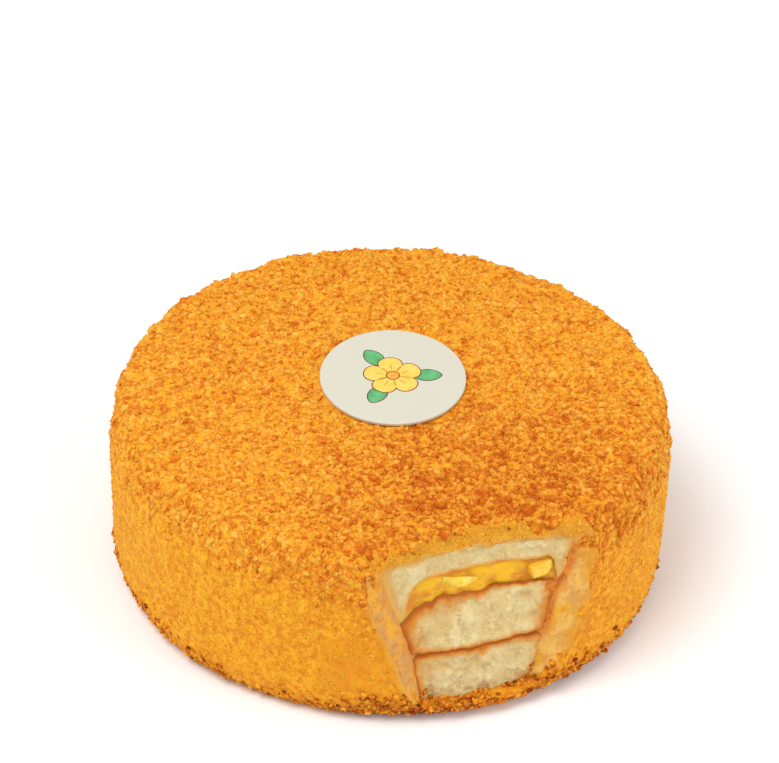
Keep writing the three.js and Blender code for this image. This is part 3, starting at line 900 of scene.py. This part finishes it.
def crumb_tree(name, ball_node, ball_size):
    """A tree that strews crumbs, each made of the named ball with its lumps and hollows."""
    bench, told = geometry_tree(name, {"Where": "String", "Smallest": "Float", "Largest": "Float",
                                       "Spacing": "Float", "Sunk": "Float", "Seed": "Int"})

    def kept(geometry, name, value, domain):
        return bench.add("GeometryNodeStoreNamedAttribute",
                         {"Geometry": geometry, "Name": name, "Value": value},
                         data_type="FLOAT", domain=domain)

    def draw(seed):
        """A random number from 0 to 1 for each crumb."""
        return bench.add("FunctionNodeRandomValue", {"Min_001": 0.0, "Max_001": 1.0, "Seed": seed},
                         "Value_001", data_type="FLOAT")

    where = bench.add("GeometryNodeInputNamedAttribute", {"Name": told["Where"]}, "Attribute",
                      data_type="FLOAT")
    strewn = bench.add("GeometryNodeDistributePointsOnFaces",
                       {"Mesh": told["Geometry"], "Distance Min": told["Spacing"],
                        "Density Max": CROWDING / (told["Spacing"] ** 2.0), "Density Factor": where,
                        "Seed": told["Seed"]}, distribute_method="POISSON")
    heap = bench.tree.nodes.new("GeometryNodeJoinGeometry")
    chance = np.random.default_rng(12)
    for shape in range(SHAPES):
        ball = bench.add(ball_node, {"Radius": 1.0, **ball_size})
        here = bench.add("GeometryNodeInputPosition")
        moved = bench.vector("ADD", here, (7.3 * shape, 2.1, -4.4 * shape))
        bumps = bench.add("ShaderNodeTexNoise", {"Vector": moved, "Scale": 1.5, "Detail": 2.0})
        squeeze = tuple(chance.uniform((0.85, 0.75, 0.62), (1.2, 1.05, 0.85)))
        grown = bench.add("ShaderNodeVectorMath", {0: bench.vector("MULTIPLY", here, squeeze),
                                                   "Scale": bumps * 2.7 - 0.35}, operation="SCALE")
        sunk = bench.vector("SUBTRACT", grown, bench.joined(z=told["Sunk"]))
        formed = bench.add("GeometryNodeSetPosition", {"Geometry": ball, "Position": sunk})
        height = bench.part(bench.add("GeometryNodeInputPosition"), "Z")
        one = bench.add("GeometryNodeGeometryToInstance", {0: kept(formed, "lift", height, "POINT")})
        bench.tree.links.new(one.socket, heap.inputs[0])
    spin = bench.add("FunctionNodeRandomValue",
                     {"Min": (-0.5, -0.5, 0.0), "Max": (0.5, 0.5, 6.283), "Seed": 3},
                     data_type="FLOAT_VECTOR")
    lying = bench.add("FunctionNodeRotateRotation",
                      {"Rotation": strewn.other("Rotation"), "Rotate By": spin}, rotation_space="LOCAL")
    size = told["Smallest"] + (told["Largest"] - told["Smallest"]) * draw(5) ** SMALLER
    placed = bench.add("GeometryNodeInstanceOnPoints",
                       {"Points": strewn, "Instance": Wire(bench, heap.outputs[0]),
                        "Pick Instance": True, "Rotation": lying,
                        "Scale": bench.joined(size, size, size)})
    toned = kept(placed, "tone", draw(9), "INSTANCE")
    real = bench.add("GeometryNodeRealizeInstances", {"Geometry": toned})
    return end_tree(bench, bench.add("GeometryNodeSetShadeSmooth", {0: real}), told["Material"])


fine_tree = crumb_tree("fine crumbs", "GeometryNodeMeshIcoSphere", {"Subdivisions": 1})
coarse_tree = crumb_tree("coarse crumbs", "GeometryNodeMeshUVSphere", {"Segments": 8, "Rings": 4})
print("two trees, each with", SHAPES, "shapes of crumb")

# %% [markdown]
# Golden cake crumbs are painted lighter where they stand free and high, as painted highlight, and
# deep orange in the chinks between them and at their buried feet, as painted shade. A few flakes
# come from the browned skin and are redder. The colour follows lift, tone and the fine relief, so
# the painted light and shade stay the same under any lamp.

# %% Crumb finish
BROWNEST = around(62, 10, 47)


def mottle(made, size=1.8):
    """The fine unevenness that crumbs and the ground under them share: its height and its mask."""
    small = made.noise(size, 4.0, 0.66)
    return small * 0.85 + made.noise(0.6, 2.0, 0.6, 3.0) * 0.3, small


def golden(made, free, tones):
    """The colour of crumbs, painted lighter where they stand free and high, as painted highlight, and
    darker where they sit low, as painted shade. It is browner in patches, and more so near the top's
    front edge."""
    lit_tone, middle_tone, deep, share = tones
    way = made.vector("DISTANCE", made.here, tuple(BROWNEST * MM), output="Value") / MM
    towards = 1 - way.step(8, 70)
    patches = made.noise(8.0, 3.0, 0.6, 3.0).step(0.44, 0.68)
    brown = (towards * 0.5 + patches * (0.3 + towards * 0.4)) * share
    return made.paint(middle_tone, ((free - brown * 0.2).step(0.2, 0.9), lit_tone),
                      (1 - (free - brown * 0.3).step(-0.1, 0.5),
                       made.mix(brown * 0.45, deep, (150, 58, 10))),
                      (brown * 0.32, (210, 104, 20)))


def crumb_finish(name, tones, flake, size=1.8, rough=0.8):
    made = Finish(name)
    tone, lift = made.own("tone"), made.own("lift")
    height, small = mottle(made, size)
    # Free joins lift, the fine relief and tone: free tops are painted lighter and low chinks darker, as
    # painted highlight and painted shade
    free = lift * 0.3 + 0.2 + (height - 0.5) * 1.9 + (tone - 0.5) * 0.4
    spot = made.noise(4.2, 1.0, 0.5, 11.0).step(0.67, 0.75)
    flaky = (spot + (tone - 0.975).step(0.0, 0.01)).least(1.0) * 0.6
    return made.done(made.mix(flaky, golden(made, free, tones), flake), 0.8 + small * 0.15,
                     (height, rough, 1.0), glow=(0.3, 0.9), specular=0.12)


# Painted highlight, middle colour and painted shade, and how much of the toasting shows
TOP_TONES = ((244, 188, 76), (238, 154, 44), (204, 100, 18), 1.0)
SIDE_TONES = ((240, 184, 48), (237, 160, 26), (208, 116, 18), 0.45)
RIM_TONES = ((238, 176, 54), (232, 160, 42), (222, 142, 34), 0.25)
# The foot's crumbs are painted much darker, down to near black in their chinks: painted shade at the foot
# of the cake
FOOT_TONES = ((246, 176, 52), (222, 124, 26), (88, 14, 2), 0.8)
top_crumb = crumb_finish("golden crumb", TOP_TONES, (208, 88, 26))
side_crumb = crumb_finish("fine golden crumb", SIDE_TONES, (226, 104, 34), 1.2, 0.38)
foot_crumb = crumb_finish("toasted crumb", FOOT_TONES, (156, 44, 16))
rim_crumb = crumb_finish("creamy crumb", RIM_TONES, (216, 112, 30), 1.2, 0.6)
print("four kinds of crumb")

# %% Strew the crumbs
TOASTED_FRONT = around(58.0, 8.0, 47.0)
high = soft(coat_z + 2.5 * lumps(coat_points, 7.0, 61), *TOP_CRUMBS)
foot = 1 - soft(coat_z - 4.0 * near_bite + 2.5 * lumps(coat_points, 5.0, 62), 2.5, 9.0)
corner = bitten * (1 - soft(coat_z + 1.5 * lumps(coat_points, 2.0, 66), 7.0, 8.5))
on_rim = edge_bare * soft(coat_z + 0.8 * lumps(coat_points, 2.5, 64), 46.2, 47.4)
on_rim = (1.6 * on_rim + 0.45 * smear) * soft(lumps(coat_points, 2.2, 63), -1.0, 0.0)
front = 1 - soft(np.linalg.norm(coat_points - TOASTED_FRONT, axis=1), 30, 75)
front = front * soft(coat_z + 2.0 * lumps(coat_points, 5.0, 65), 38, 43)
off_floor = coat_z > 0.9
for name, numbers in (("top_crumbs", crumbly * high), ("front_crumbs", crumbly * front),
                      ("side_crumbs", crumbly * (1 - high) * (1 - 0.75 * foot) * off_floor),
                      ("foot_crumbs", np.maximum(crumbly * foot, corner) * off_floor),
                      ("rim_crumbs", on_rim * off_floor * soft(disc_away, CLEAR_OF_DISC, 22.0))):
    set_mark(coat.data, name, np.clip(numbers, 0, 1))

# Name, tree, mark, smallest and largest size, spacing, how far sunk in, and material
HEAPS = (("coarse_crumbs", coarse_tree, "top_crumbs", 0.8, 1.75, 2.3, 0.4, top_crumb),
         ("front_crumbs", coarse_tree, "front_crumbs", 1.0, 2.0, 2.3, 0.3, top_crumb),
         ("torn_crumbs", coarse_tree, "top_crumbs", 0.7, 1.3, 1.95, 0.3, top_crumb),
         ("golden_crumbs", fine_tree, "top_crumbs", 0.5, 0.95, 1.1, 0.3, top_crumb),
         ("side_crumbs", fine_tree, "side_crumbs", 0.4, 0.8, 1.0, 0.48, side_crumb),
         ("foot_crumbs", coarse_tree, "foot_crumbs", 0.55, 1.2, 1.25, 0.12, foot_crumb),
         ("rim_crumbs", coarse_tree, "rim_crumbs", 0.3, 0.8, 0.7, 0.4, rim_crumb))
heaps = []
for seed, (name, tree, where, smallest, largest, spacing, sunk, material) in enumerate(HEAPS):
    told = {"Where": where, "Smallest": smallest * MM, "Largest": largest * MM,
            "Spacing": spacing * MM, "Sunk": sunk, "Seed": seed + 1, "Material": material}
    heaps.append(run_tree(tree, name, coat.data.copy(), told))
    print(name, "has", triangles(heaps[-1]), "triangles")
print("crumbs in all:", sum(triangles(heap) for heap in heaps), "triangles")

# %% [markdown]
# Under the crumbs lies the cream, orange where crumbs sit on it. It is painted lighter on its high
# grains and darker between them, as painted highlight and painted shade, and painted darker still at
# the foot, as painted shade. Where it is bare it is smooth and yellow, with streaks from the teeth
# and from the palette knife. One material holds all of it and blends by the marks of the coat.

# %% Cream finish


def cream_finish():
    made = Finish("mango cream")
    bare_here, bitten_here, rim, turn, low, past = (
        made.own(mark_name) for mark_name in ("bare", "bitten", "rim", "turn", "low", "past"))
    height = made.part(made.here, "Z") / MM
    cloud = made.noise(6.0, 3.0, 0.55)
    streak = made.noise(3.2, 3.0, 0.6, 9.0, (1.0, 1.0, 0.45))
    grainy, small = mottle(made)
    grains = small.step(0.48, 0.66) * 0.5
    to_left = (turn * -1.0).step(6.0, 14.0)
    # The crumb ground is painted lighter on high grains and darker between them, and near black-brown at
    # the foot: painted highlight and painted shade
    under = made.mix(low * 0.85, golden(made, 0.2 + (grainy - 0.5) * 1.8, SIDE_TONES),
                     made.mix(small.step(0.35, 0.6), (84, 22, 6), (170, 74, 18)))
    smooth_cream = made.mix(cloud.step(0.35, 0.68), (222, 140, 20), (232, 156, 26))
    smooth_cream = made.mix(grains, smooth_cream, (212, 122, 18))
    pink = made.mix(streak.step(0.38, 0.62), (204, 152, 92), (228, 164, 56))
    pink = made.mix(grains, pink, (208, 134, 56))
    near_top = ((height - 46.2) + (cloud - 0.5) * 5.0).step(-0.8, 2.2)
    crust = 1 - (past + (streak - 0.5) * 3.0).step(0.0, 2.0)
    crust = crust * (turn.step(-2.0, 2.0) * 0.65 + 0.25) * height.step(14, 24) * (1 - height.step(42, 46))
    edge_glow = 1 - (rim + (cloud - 0.5) * 5.0).step(0.4, 3.4)
    edge_glow = edge_glow * (turn.step(-6.0, 6.0) + height.step(44.0, 48.0)).least(1.0)
    wall = made.paint(made.mix(streak.step(0.4, 0.62), (206, 154, 80), (220, 164, 48)),
                      (cloud.step(0.45, 0.6) * 0.7, (230, 182, 98)),
                      (to_left, pink), (near_top, (220, 158, 40)),
                      (small.step(0.46, 0.62) * 0.5, (204, 126, 38)),
                      (crust, made.mix(small.step(0.4, 0.6), (170, 80, 22), (212, 122, 42))),
                      (edge_glow * 0.8, (218, 142, 32)))
    past_rim = 1 - (rim + (streak - 0.5) * 3.0).step(0.3, 2.2)
    past_rim = past_rim * to_left * height.step(6.0, 9.0) * (1 - height.step(40.0, 46.0))
    body = made.paint(under, (bare_here.step(0.1, 0.9), smooth_cream),
                      (past_rim * 0.8 * bare_here, (224, 170, 70)),
                      (bitten_here.step(0.3, 0.7) * bare_here.step(0.2, 0.8), wall))
    near_rim = 1 - rim.step(1.0, 4.0)
    relief = grainy * (1 - bare_here * (0.4 - near_rim * 0.6)) + streak * bare_here * 0.4
    fat = made.noise(2.4, 2.0, 0.5, 2.0)
    return made.done(body, 0.6 + fat * 0.25, (relief, 0.6, 1.0), glow=(0.3, 1.2), specular=0.2)


coat.data.materials.append(cream_finish())
print("the coat has its cream")

# %% [markdown]
# Sponge is pale and dry inside. Towards its skin it takes up moisture and colour from the cream,
# and the skin itself is a thin brown line. How deep a point lies is known from the marks: over and
# under measure to the layer's own surfaces, side to its rim.

# %% Sponge finish


def sponge_finish(name, side_skin, top_skin, low_skin, to_right, warm, brown):
    """A sponge material. The skins say how thick the brown is at its rim, top and underside, and
    to_right how it dies out across the cake."""
    made = Finish(name)
    crumb = made.noise(0.8, 4.0, 0.7, 8.0)
    tiny = made.noise(0.35, 2.0, 0.6)
    blotch = made.noise(7.0, 2.0, 0.5, 4.0)
    hollow = made.own("hollow")
    fray = (made.noise(2.6, 3.0, 0.6) - 0.5) * 2.4
    across = made.part(made.here, "X") / MM
    patchy = 1 + ((made.noise(9.0, 1.0, 0.5, 13.0) - 0.5) * 4.0 + across * to_right).most(-0.5)
    depths = (made.own("over") / low_skin + fray, made.own("under") * patchy / top_skin + fray,
              made.own("side") / side_skin + fray)
    over, under, side = (depth.most(0.01) ** -2.0 for depth in depths)
    near = (over + under + side) ** -0.5
    pale = made.mix(blotch.step(0.35, 0.65), (225, 204, 149), (219, 189, 127))
    # Darker specks where the bump dips, lighter specks where it rises, darker hollows and lighter raised
    # crumb: painted shade and painted highlight
    body = made.paint(pale, (crumb.step(0.52, 0.68) * 0.6, (198, 162, 102)),
                      (tiny.step(0.52, 0.66) * 0.45, (240, 226, 180)),
                      (hollow.step(0.5, 1.0) * 0.5, (212, 168, 100)),
                      ((1 - hollow.step(0.15, 0.45)) * 0.5, (234, 219, 170)),
                      (1 - near.step(0.9, 3.2), (216, 164, 88)),
                      (1 - near.step(0.3, 1.8), warm),
                      (1 - (near - fray * 0.5).step(0.1, 1.0), brown))
    return made.done(body, 0.8 + crumb * 0.15, (tiny * 0.6 - crumb, 0.5, 1.0), glow=(0.3, 1.5),
                     specular=0.2)


SKINS = ((sponge_bottom, "bottom sponge crumb", 0.9, 0.9, 0.5, 0.0, (222, 140, 50), (190, 106, 36)),
         (sponge_middle, "middle sponge crumb", 1.5, 0.85, 0.5, 0.12, (220, 134, 44), (184, 98, 32)),
         (sponge_top, "top sponge crumb", 0.8, 0.5, 0.25, 0.0, (230, 176, 86), (226, 166, 80)))
for thing, *told in SKINS:
    thing.data.materials.append(sponge_finish(*told))
print(len(SKINS), "sponges have their crumb")

# %% [markdown]
# The jam is wet fruit: amber where it is thick, bright yellow where pulp shines through, and very
# smooth. Its gloss makes small sharp lights, which is what tells wet from dry in a photo.

# %% Jam and fruit finishes


def jam_finish():
    made = Finish("mango jam")
    ribbon = made.noise(8.0, 2.0, 0.5, 2.0, (1.0, 1.0, 1.8))
    pulp = made.noise(1.3, 3.0, 0.6, 6.0)
    # Brink is the nearness to the jam's edges against the sponge and to its end; there it is painted a
    # darker orange, as painted shade
    brink = made.own("under").least(made.own("over")).least(made.own("side") * 0.4 - 1.0)
    amber = made.mix(ribbon.step(0.42, 0.58), (212, 136, 4), (234, 178, 4))
    body = made.paint(amber, (pulp.step(0.54, 0.74) * 0.3, (240, 194, 8)),
                      ((1 - brink.step(0.0, 1.0)) * 0.65, (226, 134, 14)))
    return made.done(body, 0.12 + pulp * 0.2, (pulp, 0.7, 0.9), (0.5, 2.5), (0.18, 0.05), 0.25)


def fruit_finish():
    made = Finish("ripe mango")
    vein = made.noise(2.4, 3.0, 0.55, 0.0, (1.0, 1.0, 2.5))
    # Towards its edges the fruit is painted a darker orange: painted shade where the cube sinks into the
    # jam
    edge = (made.own("brim") + (vein - 0.5) * 0.4).step(0.7, 1.0) * 0.8
    body = made.mix(vein.step(0.36, 0.6), (234, 182, 8), (234, 202, 62))
    body = made.mix(edge, body, (228, 144, 8))
    return made.done(body, 0.14 + vein * 0.14, (vein, 0.3, 0.3), (0.5, 2.0), (0.25, 0.06))


filling.data.materials.append(jam_finish())
fruit = fruit_finish()
for cube in cubes.values():
    cube.data.materials.append(fruit)
print("jam and fruit are wet")

# %% [markdown]
# On top lies a disc of wafer paper. It has sunk in a little on the near side. Its rim is softly
# rounded, and its paper has a faint grain. A printed flower decorates it: five petals and three
# leaves, each a thin closed shape with a darker one under it for the outline. The same tree makes
# petals and leaves, because both are a round shape drawn out and repeated round a middle.

# %% The disc
DISC_ROUNDING = 0.22
DISC_RINGS = np.array([4, 8, 12, 16, 18.3])
HALF_DISC = DISC["thickness"] / 2
disc_place = Matrix.Translation(around(-DISC_DIP["shifted back"], DISC_DIP["towards"],
                                       COAT_HEIGHT - DISC["sunk"] + 0.3 + HALF_DISC))
disc_place = disc_place @ turned(DISC_DIP["towards"], "Z") @ turned(DISC_DIP["tilt"], "X")
disc_place.translation *= MM


def make_disc():
    bend = np.linspace(0, np.pi / 2, 5)
    edge_r = DISC["radius"] - DISC_ROUNDING + DISC_ROUNDING * np.sin(bend)
    edge_z = -HALF_DISC + DISC_ROUNDING * (1 - np.cos(bend))
    r = np.concatenate([DISC_RINGS, edge_r, edge_r[::-1], DISC_RINGS[::-1]])
    flat = np.full(len(DISC_RINGS), HALF_DISC)
    z = np.concatenate([-flat, edge_z, -edge_z[::-1], flat])
    turn = np.arange(0, 360, 2.0)
    points = around(r[None, :], turn[:, None], z[None, :]).reshape(-1, 3) * (1, DISC["length"], 1)
    points = np.vstack([[[0, 0, -HALF_DISC]], points, [[0, 0, HALF_DISC]]])
    disc = fresh_mesh("wafer_disc", points, grid_faces(len(turn), len(r) + 2), {})
    disc.data.transform(disc_place)
    return disc


def wafer_finish():
    made = Finish("wafer paper")
    grain = made.noise(0.5, 3.0, 0.6)
    body = made.mix(made.noise(7.0, 2.0, 0.5), (206, 202, 184), (201, 198, 180))
    return made.done(body, 0.45 + grain * 0.15, (grain, 0.1, 0.15))


disc = make_disc()
disc.data.materials.append(wafer_finish())
print("the disc has", triangles(disc), "triangles")

# %% The petal tree
SIZES = ("Length", "Width", "From Middle", "Grow", "Point", "Taper", "Turn", "Bottom", "Top")


def petal_tree():
    """Count flat petals round a middle. Point makes their ends sharp, as on a leaf."""
    bench, told = geometry_tree("petals", {**dict.fromkeys(SIZES, "Float"), "Count": "Int"})
    ring = bench.add("GeometryNodeMeshCircle", {"Vertices": 48, "Radius": 1.0}, fill_type="NGON")
    x = bench.part(bench.add("GeometryNodeInputPosition"), "X")
    y = x.other("Y")
    narrow = bench.math("ABSOLUTE", x) ** told["Point"]
    wide = x * narrow * (told["Width"] / 2) * (1 + told["Taper"] * y) + x * told["Grow"]
    length = told["From Middle"] + (y + 1) / 2 * told["Length"] + y * told["Grow"]
    flat = bench.joined(wide, length, told["Bottom"])
    lower = bench.add("GeometryNodeSetPosition", {"Geometry": ring, "Position": flat})
    raised = bench.add("GeometryNodeExtrudeMesh",
                       {"Mesh": lower, "Offset": bench.joined(z=told["Top"] - told["Bottom"]),
                        "Offset Scale": 1.0, "Individual": True}, mode="FACES")
    both = bench.tree.nodes.new("GeometryNodeJoinGeometry")
    for half in (raised, bench.add("GeometryNodeFlipFaces", {0: lower})):
        bench.tree.links.new(half.socket, both.inputs[0])
    whole = bench.add("GeometryNodeMergeByDistance", {0: Wire(bench, both.outputs[0]), "Distance": 1e-7})
    middle = bench.add("GeometryNodePoints", {"Count": told["Count"]})
    turn = bench.add("GeometryNodeInputIndex") * 6.28318 / told["Count"] + told["Turn"]
    spin = bench.add("FunctionNodeEulerToRotation", {0: bench.joined(z=turn)})
    copies = bench.add("GeometryNodeInstanceOnPoints",
                       {"Points": middle, "Instance": whole, "Rotation": spin})
    real = bench.add("GeometryNodeRealizeInstances", {"Geometry": copies})
    return end_tree(bench, real, told["Material"])


petals = petal_tree()
print("the petal tree has", len(petals.nodes), "nodes")

# %% Print the flower
LINE = 0.28
BURIED = 0.05
INK_STEP = 0.012


def ink(name, main, second):
    made = Finish(name)
    wash = made.noise(3.0, 3.0, 0.6)
    return made.done(made.mix(wash.step(0.3, 0.7), main, second), 0.42 + wash * 0.12)


INKS = {"yellow": ink("golden ink", (255, 192, 66), (255, 204, 96)),
        "orange": ink("orange ink", (243, 146, 44), (247, 160, 60)),
        "green": ink("leaf green ink", (70, 156, 92), (98, 180, 112)),
        "maroon": ink("dark red ink", (86, 18, 16), (98, 24, 20))}


def printed(name, ink_name, level, line, count, length, width, from_middle, turn, point=0.0, taper=0.0):
    """One colour of the print, laid on the disc. Lengths are in millimetres, and a higher level
    lies over a lower one."""
    told = {"Length": length * MM, "Width": width * MM, "From Middle": from_middle * MM,
            "Grow": line * MM, "Point": point, "Taper": taper, "Turn": math.radians(turn),
            "Bottom": (HALF_DISC - BURIED) * MM, "Top": (HALF_DISC + INK_STEP * level) * MM,
            "Count": count, "Material": INKS[ink_name]}
    thing = run_tree(petals, name, bpy.data.meshes.new(name), told)
    thing.data.transform(disc_place)
    return thing


LEAF = (3, 7.6, 4.6, 5.2, 35, 0.45)
PETAL = (5, 6.6, 6.0, 1.0, 10, 0.0, 0.22)
HEART = (1, 3.2, 3.2, -1.6, 0)
prints = [printed("leaf_lines", "maroon", 1, LINE, *LEAF), printed("leaves", "green", 2, 0.0, *LEAF),
          printed("petal_lines", "maroon", 3, LINE, *PETAL), printed("petals", "yellow", 4, 0.0, *PETAL),
          printed("petal_veins", "orange", 5, 0.0, 5, 2.6, 0.5, 2.4, 10, 0.4),
          printed("heart_line", "maroon", 6, LINE, *HEART), printed("heart", "orange", 7, 0.0, *HEART),
          printed("heart_dots", "yellow", 8, 0.0, 6, 0.5, 0.5, 0.7, 0)]
print("the print has", len(prints), "shapes")

# %% [markdown]
# Every piece hangs on the cake's root, and the solid it stands for is hidden. The print only adds to
# a solid, so it rides on the cake.

# %% Pieces and solids
STANDS_FOR = [(coat, "crumb_coat", "crumb_coat"), (sponge_bottom, "sponge_bottom", "sponge"),
              (sponge_middle, "sponge_middle", "sponge"), (sponge_top, "sponge_top", "sponge"),
              (filling, "mango_filling", "filling"), (disc, "topper_disc", "disc")]
STANDS_FOR += [(cubes[name], told[-1], "mango") for name, told in MANGO_CUBES.items()]
for piece, node, slot in STANDS_FOR:
    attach(piece, "root")
    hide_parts(node)
for heap in heaps:
    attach(heap, "root")
    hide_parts("crumb_coat")
for shape in prints:
    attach(shape, "root")
print("pieces:", len(STANDS_FOR) + len(heaps) + len(prints))

# %% [markdown]
# The cake stands on a pale floor in soft light, as in a studio: one wide lamp from the upper left,
# a weaker one from the right, and a bright even sky that fills the shadows.

# %% Floor and light
FLOOR_HALF = 6
FLOOR_DROP = 0.0002
LIT_PLACE = Vector((0, 0, 0.03))
floor_mesh = bpy.data.meshes.new("floor")
corners = [(x * FLOOR_HALF, y * FLOOR_HALF, 0) for x, y in ((-1, -1), (1, -1), (1, 1), (-1, 1))]
floor_mesh.from_pydata(corners, [], [(0, 1, 2, 3)])
floor = put("floor", floor_mesh)
floor.location.z = -FLOOR_DROP
floor.data.materials.append(Finish("pale floor").done((0.92, 0.92, 0.915, 1), 0.9, specular=0.1))


def lamp(name, place, size, power):
    light = bpy.data.lights.new(name, "AREA")
    light.shape = "DISK"
    light.size = size
    light.energy = power
    thing = put(name, light)
    thing.location = place
    thing.rotation_euler = (LIT_PLACE - Vector(place)).to_track_quat("-Z", "Y").to_euler()


lamp("key", (-0.5, -0.15, 1.0), 0.7, 7.5)
lamp("fill", (0.8, -0.75, 0.5), 0.8, 4.4)
sky = bpy.data.worlds.new("studio")
bpy.context.scene.world = sky
sky.use_nodes = True
sky.node_tree.nodes["Background"].inputs["Color"].default_value = (1, 1, 1, 1)
sky.node_tree.nodes["Background"].inputs["Strength"].default_value = 0.7
bpy.context.scene.view_settings.view_transform = "Standard"
print("light and floor are set")
